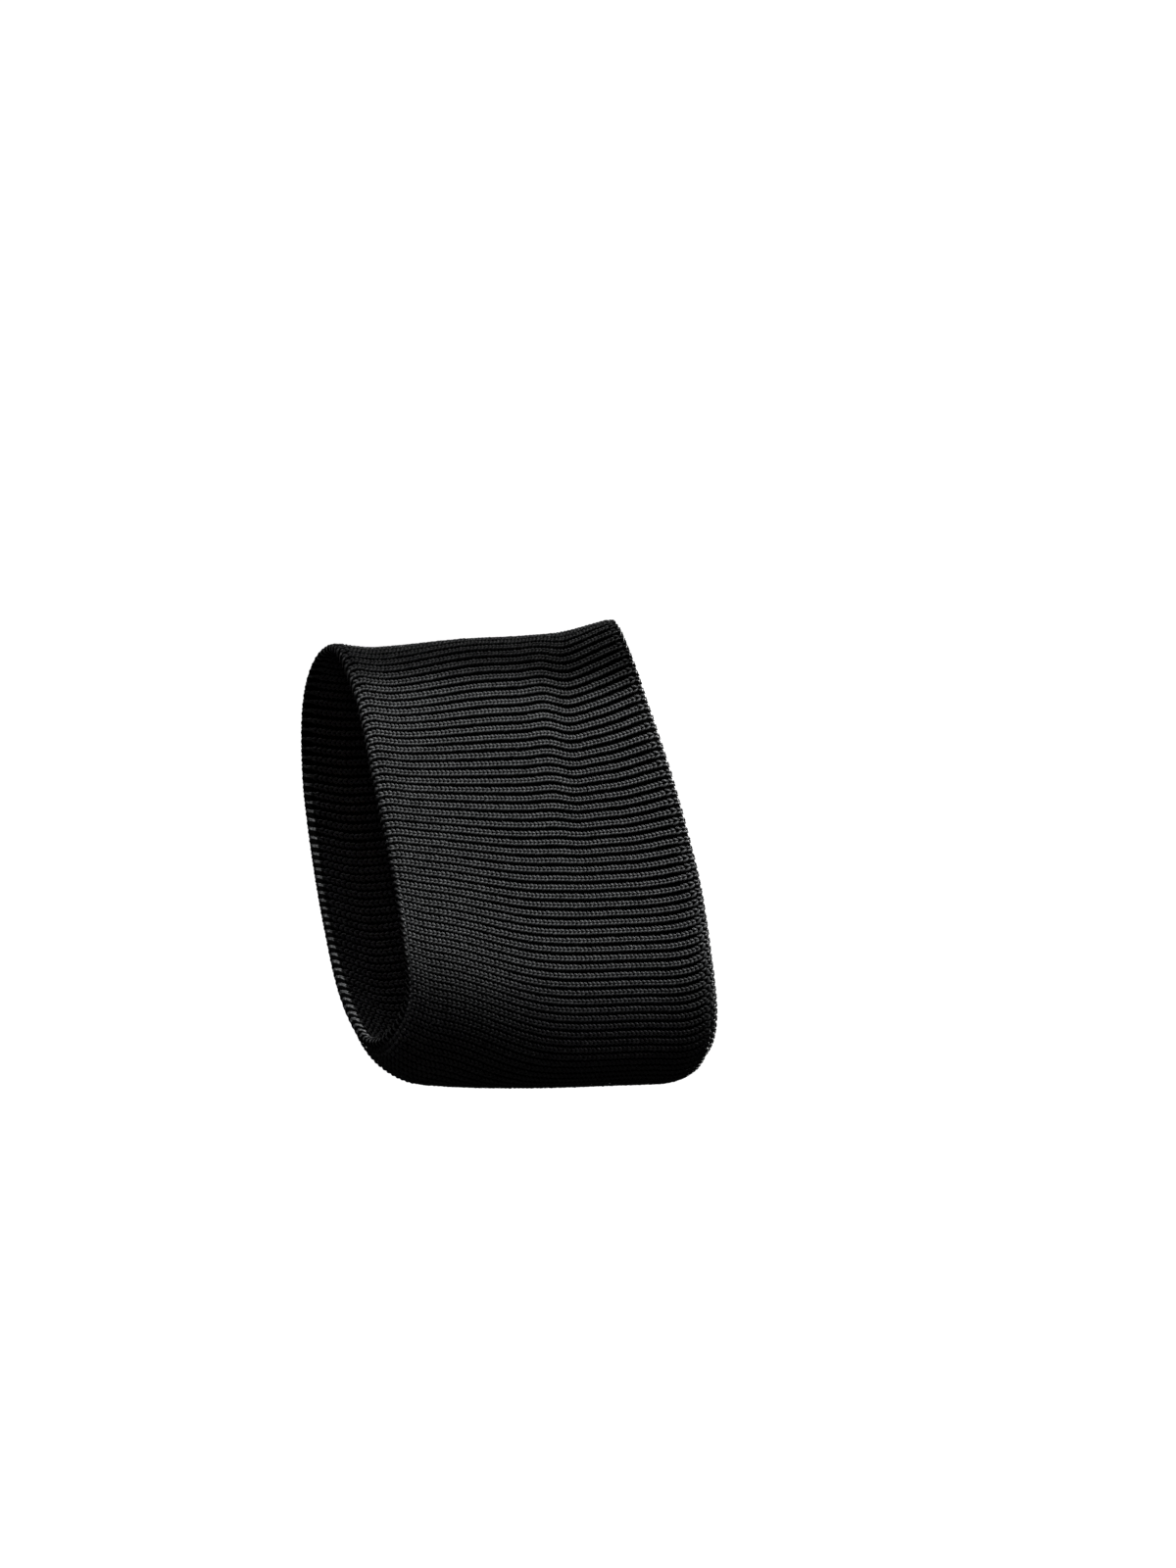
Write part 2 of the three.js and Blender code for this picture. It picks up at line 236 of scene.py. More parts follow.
stretches = ways_round(np.arange(RIBS * COLUMNS) / COLUMNS)
print("Stretches of a rib's way, in samples:", [len(stretch) for stretch in stretches])

# %% Spread the courses
# Each list gives the lengths of a stretch's courses, in stitches. The courses at the rims are longer, and
# those of the finger third are a little longer than the rest. The second lists give how far the legs of
# a stitch stand apart, as a share of a plain stitch's: on the finger rim's fold a stitch is drawn out to
# a strand, and at the wrist rim it opens to a wide loop.
STRAND_APART = 0.4  # the share at which a stitch is fully drawn out
OUTSIDE_COURSES = [1.15, 1.05] + [1.04] * 25 + [0.97] * 43 + [1.1, 1.6]
OUTSIDE_APART = [0.85] + [1.0] * 69 + [1.1, 1.35]
WRIST_FOLD_COURSES = [1.0] * 3
WRIST_FOLD_APART = [1.1, 1.0, 1.0]
FINGER_FOLD_COURSES = [1.0] * 3
FINGER_FOLD_APART = [STRAND_APART] * 3
HOLLOW_COURSES = [1.3] + [1.0] * 62 + [1.3]
HOLLOW_APART = [1.0] * 63 + [0.5]


def spread_courses(points, courses):
    """Points at even steps of each course, by length along the way of each rib."""
    edges = np.pad(np.cumsum(courses), (1, 0)) / np.sum(courses)
    steps = np.arange(len(courses) * STEPS) / STEPS
    places = np.interp(steps, np.arange(len(edges)), edges)
    lengths = np.linalg.norm(np.diff(points, axis=0), axis=-1)
    runs = np.pad(np.cumsum(lengths, axis=0), ((1, 0), (0, 0)))
    runs /= runs[-1]
    return np.stack(
        [
            np.stack([np.interp(places, run, values) for values in way.T], axis=-1)
            for run, way in zip(runs.T, points.transpose(1, 0, 2))
        ],
        axis=1,
    )


course_lists = (OUTSIDE_COURSES, WRIST_FOLD_COURSES, HOLLOW_COURSES, FINGER_FOLD_COURSES)
skin = np.concatenate([spread_courses(*pair) for pair in zip(stretches, course_lists)])
course_apart = np.concatenate([OUTSIDE_APART, WRIST_FOLD_APART, HOLLOW_APART, FINGER_FOLD_APART])
COURSES = len(course_apart)
print("Skin of", skin.shape[0], "rows and", skin.shape[1], "columns,", COURSES, "courses")


# %% Directions on the skin
def unit(vectors):
    return vectors / np.linalg.norm(vectors, axis=-1, keepdims=True)


along_ribs = unit(np.roll(skin, -1, axis=0) - np.roll(skin, 1, axis=0))
across_ribs = np.roll(skin, -1, axis=1) - np.roll(skin, 1, axis=1)
outward = unit(np.cross(across_ribs, along_ribs))
sideways = np.cross(along_ribs, outward)
outside_rows = len(OUTSIDE_COURSES) * STEPS
pitches = np.linalg.norm(across_ribs, axis=-1)[:outside_rows] * COLUMNS / 2
course_length = np.linalg.norm(np.diff(skin[:outside_rows:STEPS], axis=0), axis=-1)
print("Rib pitch", pitches.min().round(2), "to", pitches.max().round(2), "mm")
print("Stitch length", course_length.min().round(2), "to", course_length.max().round(2), "mm")


# %% [markdown]
# ## Colours and nodes
#
# Materials here are node trees. A colour is written as the sRGB hex value that a colour picker shows,
# and one function turns it into the linear value that shaders use. Another one adds a node with its
# settings and links, so that a material reads as a short list of what its surface does.

# %% Helpers for materials
def colour(hex_value):
    """Linear red, green, blue and alpha of an sRGB hex value: the standard curve, with its linear toe."""
    parts = np.array([int(hex_value[i:i + 2], 16) for i in (1, 3, 5)]) / 255
    linear = np.where(parts <= 0.04045, parts / 12.92, ((parts + 0.055) / 1.055) ** 2.4)
    return (*linear.tolist(), 1.0)


def add_node(tree, kind, sockets=(), **settings):
    """A node of that kind with these settings. A socket gets a value, or a link from an output."""
    node = tree.nodes.new(kind)
    for name, value in settings.items():
        setattr(node, name, value)
    for name, value in dict(sockets).items():
        if isinstance(value, bpy.types.NodeSocket):
            tree.links.new(value, node.inputs[name])
        else:
            node.inputs[name].default_value = value
    return node


def new_material(name):
    """An empty node material, its tree and its Object coordinates."""
    material = bpy.data.materials.new(name)
    material.use_nodes = True
    material.node_tree.nodes.clear()
    place = add_node(material.node_tree, "ShaderNodeTexCoord").outputs["Object"]
    return material, material.node_tree, place


def cycles_per_metre(size_mm):
    """Scale of a noise whose features are about that size."""
    return 1 / (size_mm * MM)


# %% [markdown]
# ## The yarn
#
# The knit is black polyester yarn round an elastic core. The yarn is a bundle of crimped filaments, so it
# is soft to the eye: a broad dull highlight, a little fuzz that catches light at grazing angles, and a
# shade that drifts from stitch to stitch. The purl side between the ribs lies deep in the cloth in shade.
# Its ground is painted near black, far darker than the yarn itself, as painted shade.

# %% Black polyester yarn
FILAMENT = 0.12  # mm. Real filaments are near 0.02, too fine to show here
SHADE_DRIFT = 1.6  # mm, about a stitch and a half


def make_yarn():
    material, tree, place = new_material("black_polyester_yarn")
    drift = add_node(tree, "ShaderNodeTexNoise", {
        "Vector": place, "Scale": cycles_per_metre(SHADE_DRIFT), "Detail": 2.0})
    shade = add_node(tree, "ShaderNodeValToRGB", {"Fac": drift.outputs["Fac"]})
    shade.color_ramp.elements[0].position = 0.32
    shade.color_ramp.elements[0].color = colour("#242526")
    shade.color_ramp.elements[1].position = 0.72
    shade.color_ramp.elements[1].color = colour("#38393a")
    filaments = add_node(tree, "ShaderNodeTexNoise", {
        "Vector": place, "Scale": cycles_per_metre(FILAMENT), "Detail": 3.0})
    fuzz = add_node(tree, "ShaderNodeBump", {
        "Height": filaments.outputs["Fac"], "Strength": 0.35, "Distance": 0.04 * MM})
    shader = add_node(tree, "ShaderNodeBsdfPrincipled", {
        "Base Color": shade.outputs["Color"], "Normal": fuzz.outputs["Normal"],
        "Roughness": 0.5, "IOR": 1.5, "Specular IOR Level": 0.45,
        "Sheen Weight": 0.1, "Sheen Roughness": 0.4})
    add_node(tree, "ShaderNodeOutputMaterial", {"Surface": shader.outputs["BSDF"]})
    return material


yarn = make_yarn()
print("Made", yarn.name)

# %% Ground of the knit, painted near black as shade
GROUND_LOOP = 0.9  # mm, about a purl loop


def make_painted_shade_ground():
    material, tree, place = new_material("purl_ground_painted_shade")
    loops = add_node(tree, "ShaderNodeTexNoise", {
        "Vector": place, "Scale": cycles_per_metre(GROUND_LOOP), "Detail": 2.0})
    # Painted shade: the ground's colours are near black, far darker than the black yarn, to stand for the
    # shade deep between the ribs.
    shade = add_node(tree, "ShaderNodeValToRGB", {"Fac": loops.outputs["Fac"]})
    shade.color_ramp.elements[0].color = colour("#010101")
    shade.color_ramp.elements[1].color = colour("#030303")
    lumps = add_node(tree, "ShaderNodeBump", {
        "Height": loops.outputs["Fac"], "Strength": 0.5, "Distance": 0.2 * MM})
    shader = add_node(tree, "ShaderNodeBsdfPrincipled", {
        "Base Color": shade.outputs["Color"], "Normal": lumps.outputs["Normal"],
        "Roughness": 0.95, "IOR": 1.5, "Specular IOR Level": 0.02})
    add_node(tree, "ShaderNodeOutputMaterial", {"Surface": shader.outputs["BSDF"]})
    return material


ground = make_painted_shade_ground()
print("Made", ground.name)


# %% [markdown]
# ## The ground of the sleeve
#
# Under the ribs lies the body of the cloth, one closed skin all the way round the folded wall. It could be
# a solidified sheet, but the folds would have to be added one by one. The skin above already goes round
# them, so the ground is that skin, lowered by a wave: a little under the crest of each rib and deep
# between ribs. On the folds the knit is stretched round the edge, and the valleys between its ribs are
# shallow.

# %% Put arrays into a mesh
def mesh_piece(name, points, corners, counts, material):
    """An object at the origin from points in mm, the corners of all faces in a row, and the number of
    corners of each face."""
    mesh = bpy.data.meshes.new(name)
    mesh.vertices.add(len(points))
    mesh.vertices.foreach_set("co", (points * MM).astype(np.float32).ravel())
    mesh.loops.add(len(corners))
    mesh.loops.foreach_set("vertex_index", corners.astype(np.int32))
    mesh.polygons.add(len(counts))
    starts = np.cumsum(counts) - counts
    mesh.polygons.foreach_set("loop_start", starts.astype(np.int32))
    mesh.update(calc_edges=True)
    mesh.shade_smooth()
    mesh.materials.append(material)
    piece = bpy.data.objects.new(name, mesh)
    bpy.context.scene.collection.objects.link(piece)
    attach(piece, "root")
    print(name, "has", int(np.sum(counts - 2)), "triangles")
    return piece


def ring_quads(rows, columns):
    """Corners of the quads of a grid that closes on itself both ways."""
    index = np.arange(rows * columns).reshape(rows, columns)
    right = np.roll(index, -1, axis=1)
    quads = np.stack([index, right, np.roll(right, -1, axis=0), np.roll(index, -1, axis=0)], axis=-1)
    return quads.reshape(-1, 4)


# %% Lay the ground
GROUND_CREST = -0.4  # mm, under the middle of a rib, from the middle of the ribs' relief
GROUND_VALLEY = -0.65  # mm, between ribs
FOLD_VALLEY = -0.1  # mm, between ribs on a fold
FOLD_BLEND = 2.0  # courses beside a fold in which its valleys deepen
FOLD_STEP = 2  # rows of the skin between the ground's rows on a fold. Elsewhere a course has one row

row_course = np.arange(len(skin)) / STEPS
wrist_start, finger_start = len(OUTSIDE_COURSES), COURSES - len(FINGER_FOLD_COURSES)
fold_halves = np.array([len(WRIST_FOLD_COURSES), len(FINGER_FOLD_COURSES)]) / 2
from_fold = np.abs(row_course[:, None] - (np.array([wrist_start, finger_start]) + fold_halves))
from_fold = (np.minimum(from_fold, COURSES - from_fold) - fold_halves).min(axis=1)
valley = np.interp(from_fold, [0, FOLD_BLEND], [FOLD_VALLEY, GROUND_VALLEY])[:, None]
phase = 2 * np.pi * np.arange(RIBS * COLUMNS) / COLUMNS
wave = (GROUND_CREST + valley) / 2 + (GROUND_CREST - valley) / 2 * np.cos(phase)
stretch_ends = np.cumsum([0] + [len(courses) * STEPS for courses in course_lists])
row_steps = (STEPS, FOLD_STEP, STEPS, FOLD_STEP)
ground_rows = np.concatenate([
    np.arange(*span) for span in zip(stretch_ends[:-1], stretch_ends[1:], row_steps)])
ground_points = (skin + outward * wave[..., None])[ground_rows]
quads = ring_quads(*ground_points.shape[:2])
# The ground carries the near-black painted shade of the purl side.
knit_ground = mesh_piece(
    "knit_ground", ground_points.reshape(-1, 3), quads.ravel(), np.full(len(quads), 4), ground)
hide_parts("knit_sleeve")

# %% [markdown]
# ## The stitches
#
# The face of a rib is a chain of loops, each of which shows two legs that meet in a point towards the
# wrist. Between the legs is a small dark hole. A bump map could draw them, but the holes and the broken
# edge of the ribs are what the eye reads as knit, so each leg is a real little body: five sides, three
# rings and two ends. It rises from the ground, arches over and dives in again, and all legs of a patch
# are one mesh, set along the skin as whole arrays.

# %% One leg
LEG_TAIL = -0.6  # where a leg starts, in courses, at the wide end of the loop
LEG_TIP = 0.46  # where it ends, at the point
LEG_APART = 0.48  # mm from the rib's middle to a leg at its tail
LEG_TOGETHER = 0.04  # mm, at its tip
LEG_RADIUS = 0.29  # mm, half of the yarn's width
LEG_HEIGHT = 0.24  # mm, half of its thickness
LEG_ARCH = 0.42  # mm that its back rises above its tail
LEG_BEND = 0.72  # share of a half wave that it bends through from tail to tip
FOLD_BEND = 0.95  # the same on a fold, where no next stitch covers the tip
LEG_FOOT = -0.34  # mm, height of its tail
LEG_CURL = 1.7  # power of its way in: more keeps it longer at the rib's edge
LEG_RISE = 0.7  # power of its way up: less lifts it sooner
LEG_SWELL = 0.25  # power of its swelling: less keeps it thick nearer its ends
RING_PLACES = {3: [0.14, 0.54, 0.9], 2: [0.25, 0.78]}


def leg_template(sides, rings):
    """Share along a leg, offset across it and height of its vertices: rings of an ellipse that swells
    with the fourth root of a half sine, and a point at each end. With them, its faces' corners."""
    shares = np.array(RING_PLACES[rings])
    angles = 2 * np.pi * np.arange(sides) / sides + np.pi / 2
    swell = np.sin(np.pi * shares) ** LEG_SWELL
    share = np.concatenate([[0.0], np.repeat(shares, sides), [1.0]])
    across = np.concatenate([[0.0], np.outer(swell, np.cos(angles)).ravel() * LEG_RADIUS, [0.0]])
    up = np.concatenate([[0.0], np.outer(swell, np.sin(angles)).ravel() * LEG_HEIGHT, [0.0]])
    ring = 1 + np.arange(sides * rings).reshape(rings, sides)
    following = np.roll(ring, -1, axis=1)
    start = np.stack([np.zeros(sides, int), following[0], ring[0]], axis=1)
    end = np.stack([np.full(sides, sides * rings + 1), ring[-1], following[-1]], axis=1)
    body = np.stack([ring[:-1], following[:-1], following[1:], ring[1:]], axis=-1).reshape(-1, 4)
    corners = np.concatenate([start.ravel(), end.ravel(), body.ravel()])
    counts = np.repeat([3, 4], [2 * sides, sides * (rings - 1)])
    return share, across, up, corners, counts


def leg_map(sides, rings):
    """Places of a leg's corners on a flat map, unrolled like a label: sides across and the leg's length
    up, in the order of leg_template's corners."""
    left = np.arange(sides) / sides
    right = left + 1 / sides
    rows = np.concatenate([[0.0], RING_PLACES[rings], [1.0]])
    start = np.stack([(left + right) / 2, right, left], axis=1), [rows[0], rows[1], rows[1]]
    end = np.stack([(left + right) / 2, left, right], axis=1), [rows[-1], rows[-2], rows[-2]]
    u = [start[0].ravel(), end[0].ravel()]
    v = [np.tile(start[1], sides), np.tile(end[1], sides)]
    for low, high in zip(rows[1:-2], rows[2:-1]):
        u.append(np.stack([left, right, right, left], axis=1).ravel())
        v.append(np.tile([low, low, high, high], sides))
    return np.stack([np.concatenate(u), np.concatenate(v)], axis=-1)


# %% Set the legs along the skin
RIB_FULL_PITCH = 1.55  # mm. Ribs that lie closer than this have narrower stitches
WIDTH_LIMITS = (0.72, 1.07)  # shares of a plain stitch's width
STITCH_SEED = 11
UNEVEN = 0.06  # share by which stitches differ in length and width
FOLD_TIPS = 1.0  # courses beside a fold whose stitches bend as they do on it
STRAND_REACH = 0.4  # share by which a stitch that is drawn out to a strand is longer
STRAND_FOOT = -0.5  # mm, height of its tail
STRAND_ARCH = 0.12  # mm that its back rises above its tail
drawn_out = np.clip((1 - course_apart) / (1 - STRAND_APART), 0, 1)
rib_skin, rib_outward, rib_sideways = (grid[:, ::COLUMNS] for grid in (skin, outward, sideways))
rib_pitch = np.linalg.norm(np.roll(rib_skin, -1, axis=1) - np.roll(rib_skin, 1, axis=1), axis=-1) / 2
way_steps = np.linalg.norm(np.roll(rib_skin, -1, axis=0) - rib_skin, axis=-1)
random = np.random.default_rng(STITCH_SEED)


def on_rib(grid, row, rib):
    """A grid's value between two of its rows, at each stitch's vertices."""
    low = np.floor(row).astype(int)
    part = (row - low)[..., None]
    return grid[low % len(grid), rib] * (1 - part) + grid[(low + 1) % len(grid), rib] * part


def leg_points(side, ribs, courses, template):
    """Points of one leg of every stitch. Along the rib it goes evenly from tail to tip, and sideways from
    apart to together by a power of the share. Its height rises from its foot as a part of a sine. side is
    1 or -1."""
    share, across, up = template[:3]
    shape = (len(ribs), len(courses), 1)
    rib = np.asarray(ribs)[:, None, None]
    course = np.asarray(courses)[None, :, None]
    width = np.clip(rib_pitch[course * STEPS, rib] / RIB_FULL_PITCH, *WIDTH_LIMITS)
    length = way_steps[course * STEPS, rib] * STEPS
    wide = width * (1 + UNEVEN * random.standard_normal(shape))
    drift = 0.5 * UNEVEN * random.standard_normal(shape)
    lift = 0.5 * UNEVEN * random.standard_normal(shape)
    strand = drawn_out[course]
    reach = 1 + STRAND_REACH * strand
    run = (LEG_TIP - LEG_TAIL) * length * reach
    apart = LEG_APART * course_apart[course] * wide
    fall = LEG_TOGETHER * wide - apart
    steep = fall * LEG_CURL * share ** (LEG_CURL - 1)
    slope = np.hypot(run, steep)
    way = (LEG_TAIL + (LEG_TIP - LEG_TAIL) * share) * reach
    along = way + drift - across * wide * steep / slope / length
    offset = apart + fall * share ** LEG_CURL + across * wide * run / slope
    bend = np.where(from_fold[course * STEPS + STEPS // 2] < FOLD_TIPS, FOLD_BEND, LEG_BEND)
    foot = LEG_FOOT + (STRAND_FOOT - LEG_FOOT) * strand
    arch = LEG_ARCH + (STRAND_ARCH - LEG_ARCH) * strand
    height = foot + arch * np.sin(np.pi * bend * share ** LEG_RISE) + up + lift
    row = (course + 0.5 + along) * STEPS
    middle, normal, aside = (on_rib(grid, row, rib) for grid in (rib_skin, rib_outward, rib_sideways))
    return middle + aside * (side * offset)[..., None] + normal * height[..., None]


# %% Knit a patch
BAKE_MAP = "OFBake"  # the name of a piece's own map
MAP_MARGIN = 0.06  # share of a leg's cell that stays bare on each side


def add_map(piece, flat, legs):
    """Gives each leg its own cell of a square map, so that no two legs share a place on it."""
    cells = int(np.ceil(np.sqrt(legs)))
    number = np.arange(legs)
    corner = np.stack([number % cells, number // cells], axis=-1)[:, None, :]
    places = (corner + MAP_MARGIN + (1 - 2 * MAP_MARGIN) * flat[None]) / cells
    layer = piece.data.uv_layers.new(name=BAKE_MAP, do_init=False)
    layer.uv.foreach_set("vector", places.astype(np.float32).ravel())


def knit_patch(name, ribs, courses, sides, rings):
    """All stitches of some ribs and courses as one mesh. The second leg mirrors the first, so the order
    of its faces' corners is turned round."""
    template = leg_template(sides, rings)
    corners, counts = template[3:]
    size = len(template[0])
    legs = [leg_points(side, ribs, courses, template).reshape(-1, size, 3) for side in (1, -1)]
    points = np.concatenate(legs)
    starts = (np.arange(len(points)) * size)[:, None]
    ends = np.cumsum(counts)
    turned = np.concatenate([np.arange(end - 1, end - count - 1, -1) for end, count in zip(ends, counts)])
    half = len(points) // 2
    all_corners = np.concatenate([starts[:half] + corners, starts[half:] + corners[turned]])
    piece = mesh_piece(
        name, points.reshape(-1, 3), all_corners.ravel(), np.tile(counts, len(points)), yarn)
    add_map(piece, leg_map(sides, rings), len(points))
    return piece


quarter = RIBS // 4
hollow_start = wrist_start + len(WRIST_FOLD_COURSES)
face_courses = np.concatenate([np.arange(hollow_start), np.arange(finger_start, COURSES)])
hollow_courses = np.arange(hollow_start, finger_start)
stitch_pieces = [
    knit_patch(name, np.arange(first, first + quarter), face_courses, sides=5, rings=3)
    for name, first in (
        ("palm_stitches_index_side", 0),
        ("palm_stitches_little_side", quarter),
        ("knuckle_stitches_little_side", 2 * quarter),
        ("knuckle_stitches_index_side", 3 * quarter),
    )
]
stitch_pieces += [
    knit_patch(name, np.arange(first, first + 2 * quarter), hollow_courses, sides=4, rings=2)
    for name, first in (("hollow_stitches_palm", 0), ("hollow_stitches_back", 2 * quarter))
]

# %% [markdown]
# ## The pad
#
# A cut sheet of closed-cell foam lies in the pocket of the doubled wall. It stays hidden, so it is plain:
# a patch of the wall with rounded edges, a little clear of the knit on every side.

# %% Closed-cell foam
FOAM_CELL = 0.5  # mm


def make_foam():
    material, tree, place = new_material("closed_cell_foam")
    cells = add_node(tree, "ShaderNodeTexVoronoi", {"Vector": place, "Scale": cycles_per_metre(FOAM_CELL)})
    shade = add_node(tree, "ShaderNodeValToRGB", {"Fac": cells.outputs["Distance"]})
    shade.color_ramp.elements[0].color = colour("#3c3c3e")
    shade.color_ramp.elements[1].color = colour("#505053")
    dents = add_node(tree, "ShaderNodeBump", {
        "Height": cells.outputs["Distance"], "Strength": 0.4, "Distance": 0.1 * MM})
    shader = add_node(tree, "ShaderNodeBsdfPrincipled", {
        "Base Color": shade.outputs["Color"], "Normal": dents.outputs["Normal"],
        "Roughness": 0.9, "IOR": 1.45})
    add_node(tree, "ShaderNodeOutputMaterial", {"Surface": shader.outputs["BSDF"]})
    return material


# %% Cut the pad
PAD_RIBS = (56.0, 117.0)
PAD_ALONG = (0.05, 0.97)
PAD_CLEARANCE = 0.3
PAD_ROUNDING = 10  # power of the rounding: more keeps the edge squarer
PAD_GRID = (73, 91)  # rows along and columns across
PAD_LEAST = 0.02  # least share of the wall that it fills, at its very edge


def cut_pad():
    """Two faces of a patch of the wall, each half of the room between the layers from its middle. The
    room is scaled by the root of 1 minus a power of the distance from the patch's middle, both ways."""
    rows, columns = (np.linspace(-1, 1, count) for count in PAD_GRID)
    along = (np.mean(PAD_ALONG) + rows * np.ptp(PAD_ALONG) / 2)[:, None]
    ribs = (np.mean(PAD_RIBS) + columns * np.ptp(PAD_RIBS) / 2)[None, :]
    outside, inside = (wall_points(ribs, along, share) for share in (1.0, 0.0))
    thickness = np.linalg.norm(outside - inside, axis=-1)
    rounding = np.sqrt((1 - rows[:, None] ** PAD_ROUNDING) * (1 - columns[None, :] ** PAD_ROUNDING))
    room = np.maximum(thickness - 2 * (LAYER + PAD_CLEARANCE), 0) * rounding / thickness
    room = np.maximum(room, PAD_LEAST)
    middle = (outside + inside) / 2
    reach = (outside - inside) / 2 * room[..., None]
    return np.stack([middle + reach, middle - reach])


def pad_quads(rows, columns):
    """Quads of the two faces and of the band round their edge."""
    index = np.arange(2 * rows * columns).reshape(2, rows, columns)
    face = np.stack([index[:, :-1, :-1], index[:, :-1, 1:], index[:, 1:, 1:], index[:, 1:, :-1]], axis=-1)
    sides = index[:, 0, :-1], index[:, :-1, -1], index[:, -1, :0:-1], index[:, :0:-1, 0]
    edge = np.concatenate(sides, axis=1)
    ahead = np.roll(edge, -1, axis=1)
    band = np.stack([edge[1], ahead[1], ahead[0], edge[0]], axis=-1)
    return np.concatenate([face[0].reshape(-1, 4), face[1].reshape(-1, 4)[:, ::-1], band])


quads = pad_quads(*PAD_GRID)
foam_pad = mesh_piece(
    "foam_pad", cut_pad().reshape(-1, 3), quads.ravel(), np.full(len(quads), 4), make_foam())
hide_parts("knuckle_pad")

# %% [markdown]
# ## The sleeve and the pad
#
# The sleeve is a sheet of doubled knit, stretched by what it is worn on, and the pad is a padded piece.

# %% [markdown]
# ## The studio
#
# The guard is shown held up in front of a white ground. A floor that curves up all round, like a wide bowl,
# gives one even pale ground from every side. The main light is a lamp above the front, whose beam fades
# out at the top and on the lower edge, so the middle of the palm side is bright and its underside sinks
# into the dark. A beam also draws each stitch more sharply than a wide soft box would. Soft boxes, which
# are weaker, light the upper edge from above and keep the other sides readable.

# %% Pale floor
FLOOR_HEIGHT = -0.2  # m, below the guard
FLOOR_FLAT = 1.5  # m, radius of the flat part
FLOOR_BEND = 0.8  # m, radius of the bend
FLOOR_WALL = 1.2  # m, height of the wall above the bend
FLOOR_HUB = 0.02  # m, radius of the face in its middle
FLOOR_SIDES = 96
BEND_STEPS = 16
PAPER_TOOTH = 2.0  # mm


def make_floor():
    """A profile of flat, quarter round and wall, turned round the vertical."""
    bend = np.linspace(0, np.pi / 2, BEND_STEPS + 1)
    outer = FLOOR_FLAT + FLOOR_BEND
    radius = np.concatenate([[FLOOR_HUB], FLOOR_FLAT + FLOOR_BEND * np.sin(bend), [outer]])
    height = np.concatenate([[0.0], FLOOR_BEND * (1 - np.cos(bend)), [FLOOR_BEND + FLOOR_WALL]])
    turn = np.linspace(0, 2 * np.pi, FLOOR_SIDES + 1)[:-1]
    points = np.stack([
        np.outer(radius, np.cos(turn)), np.outer(radius, np.sin(turn)),
        np.repeat((FLOOR_HEIGHT + height)[:, None], len(turn), axis=1)], axis=-1)
    index = np.arange(points.shape[0] * points.shape[1]).reshape(points.shape[:2])
    right = np.roll(index, -1, axis=1)
    faces = np.stack([index[:-1], index[1:], right[1:], right[:-1]], axis=-1).reshape(-1, 4)
    mesh = bpy.data.meshes.new("floor")
    mesh.from_pydata(points.reshape(-1, 3), [], [tuple(index[0])] + [tuple(face) for face in faces])
    mesh.shade_smooth()
    return mesh


def make_paper():
    material, tree, place = new_material("white_backdrop_paper")
    tooth = add_node(tree, "ShaderNodeTexNoise", {"Vector": place, "Scale": cycles_per_metre(PAPER_TOOTH)})
    grain = add_node(tree, "ShaderNodeBump", {
        "Height": tooth.outputs["Fac"], "Strength": 0.05, "Distance": 0.1 * MM})
    shader = add_node(tree, "ShaderNodeBsdfPrincipled", {
        "Base Color": colour("#f4f4f4"), "Normal": grain.outputs["Normal"], "Roughness": 0.9,
        "Emission Color": colour("#ffffff"), "Emission Strength": 1.0})
    add_node(tree, "ShaderNodeOutputMaterial", {"Surface": shader.outputs["BSDF"]})
    return material


floor = bpy.data.objects.new("floor", make_floor())
floor.data.materials.append(make_paper())
floor.visible_diffuse = False  # its bounce would fill the dark lower edge
floor.visible_glossy = False
bpy.context.scene.collection.objects.link(floor)
print("Floor of", len(floor.data.polygons), "faces")


# %% Soft light
LAMP_RADIUS = 0.004  # m


def hang(light, place, aim):
    """Puts a light at a place in metres and turns it to the point that it lights."""
    lamp = bpy.data.objects.new(light.name, light)
    lamp.location = place
    lamp.rotation_euler = (Vector(aim) - lamp.location).to_track_quat("-Z", "Y").to_euler()
    lamp.visible_camera = False
    bpy.context.scene.collection.objects.link(lamp)
    return lamp


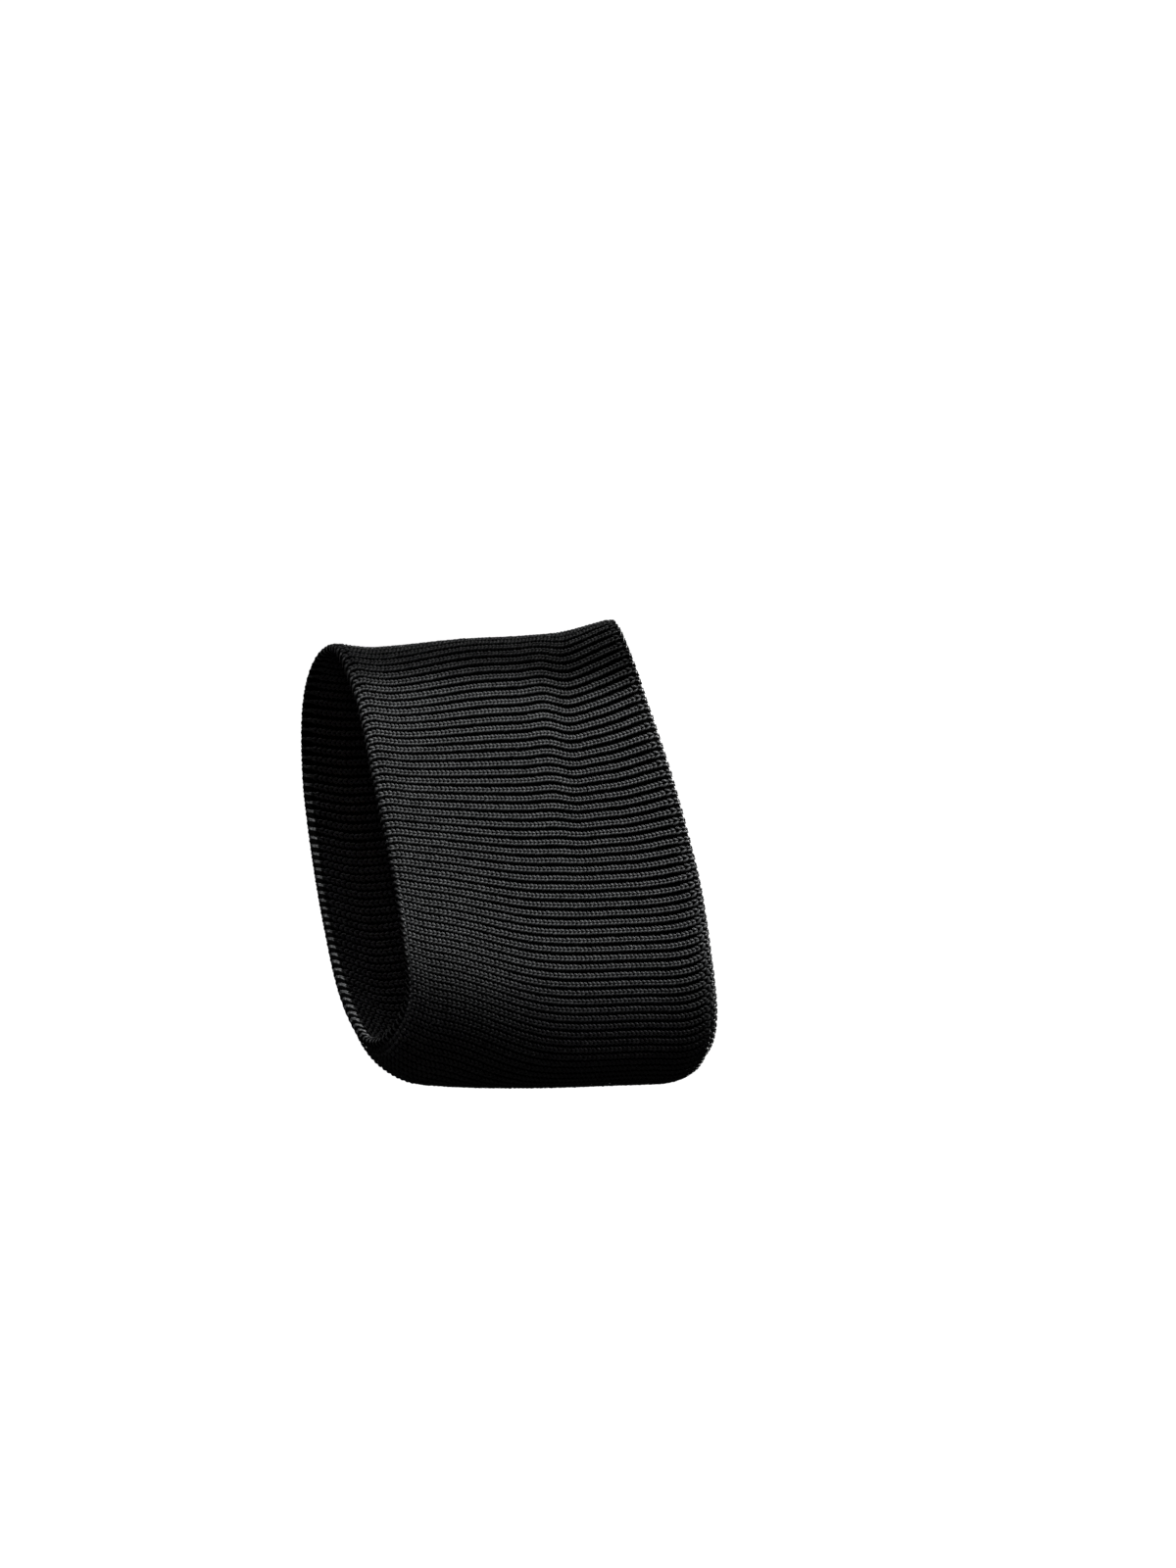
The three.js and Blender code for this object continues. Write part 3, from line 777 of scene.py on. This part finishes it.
def add_beam(name, place, aim, power, height, edge, stretch, roll):
    """A lamp with a flat oval beam. height is the angle that it spans, and edge is the share of it over
    which it fades out. stretch is its width as a share of its height, and roll tilts it. Angles are in
    degrees."""
    light = bpy.data.lights.new(name, "SPOT")
    light.energy = power
    light.spot_size = np.radians(height)
    light.spot_blend = edge
    light.shadow_soft_size = LAMP_RADIUS
    lamp = hang(light, place, aim)
    lamp.rotation_euler.rotate_axis("Z", np.radians(roll))
    lamp.scale = (stretch, 1, 1)


def add_softbox(name, place, size, power):
    """A rectangular area light that faces the guard."""
    light = bpy.data.lights.new(name, "AREA")
    light.shape = "RECTANGLE"
    light.size, light.size_y = size
    light.energy = power
    hang(light, place, (0, 0, 0))


add_beam(
    "key_light", (0.338, -0.738, 0.961), (-0.002, -0.01, 0.002),
    power=135, height=2.15, edge=0.45, stretch=4, roll=-27)
add_softbox("front_light", (-0.3, -1.15, 0.75), size=(0.8, 0.8), power=0.9)
add_softbox("top_light", (-0.15, -0.1, 1.3), size=(0.8, 0.8), power=9)
add_softbox("back_light", (0.75, 1.15, 0.2), size=(0.9, 0.5), power=42)

world = bpy.data.worlds.new("studio")
world.use_nodes = True
sky = world.node_tree.nodes["Background"]
sky.inputs["Color"].default_value = colour("#ffffff")
sky.inputs["Strength"].default_value = 0.02
bpy.context.scene.world = world
print("Lights:", sorted(light.name for light in bpy.data.lights))

# %% Camera
IMAGE_SIZE = (1200, 1600)  # pixels
PIXELS_PER_MM = 4.5  # at the middle of the guard
ORIGIN_PIXEL = (540, 870)  # where the frame's origin lies in the picture
CAMERA_DISTANCE = 1150.0  # mm
SENSOR = 36.0  # mm, along the picture's height

camera = bpy.data.cameras.new("camera")
camera.sensor_width = SENSOR
camera.lens = SENSOR * CAMERA_DISTANCE * PIXELS_PER_MM / IMAGE_SIZE[1]
viewer = bpy.data.objects.new("camera", camera)
viewer.location = (
    (IMAGE_SIZE[0] / 2 - ORIGIN_PIXEL[0]) / PIXELS_PER_MM * MM,
    -CAMERA_DISTANCE * MM,
    (ORIGIN_PIXEL[1] - IMAGE_SIZE[1] / 2) / PIXELS_PER_MM * MM,
)
viewer.rotation_euler = (np.pi / 2, 0, 0)
bpy.context.scene.collection.objects.link(viewer)
bpy.context.scene.camera = viewer
bpy.context.scene.view_settings.view_transform = "Standard"
print("Lens", round(camera.lens, 1), "mm")
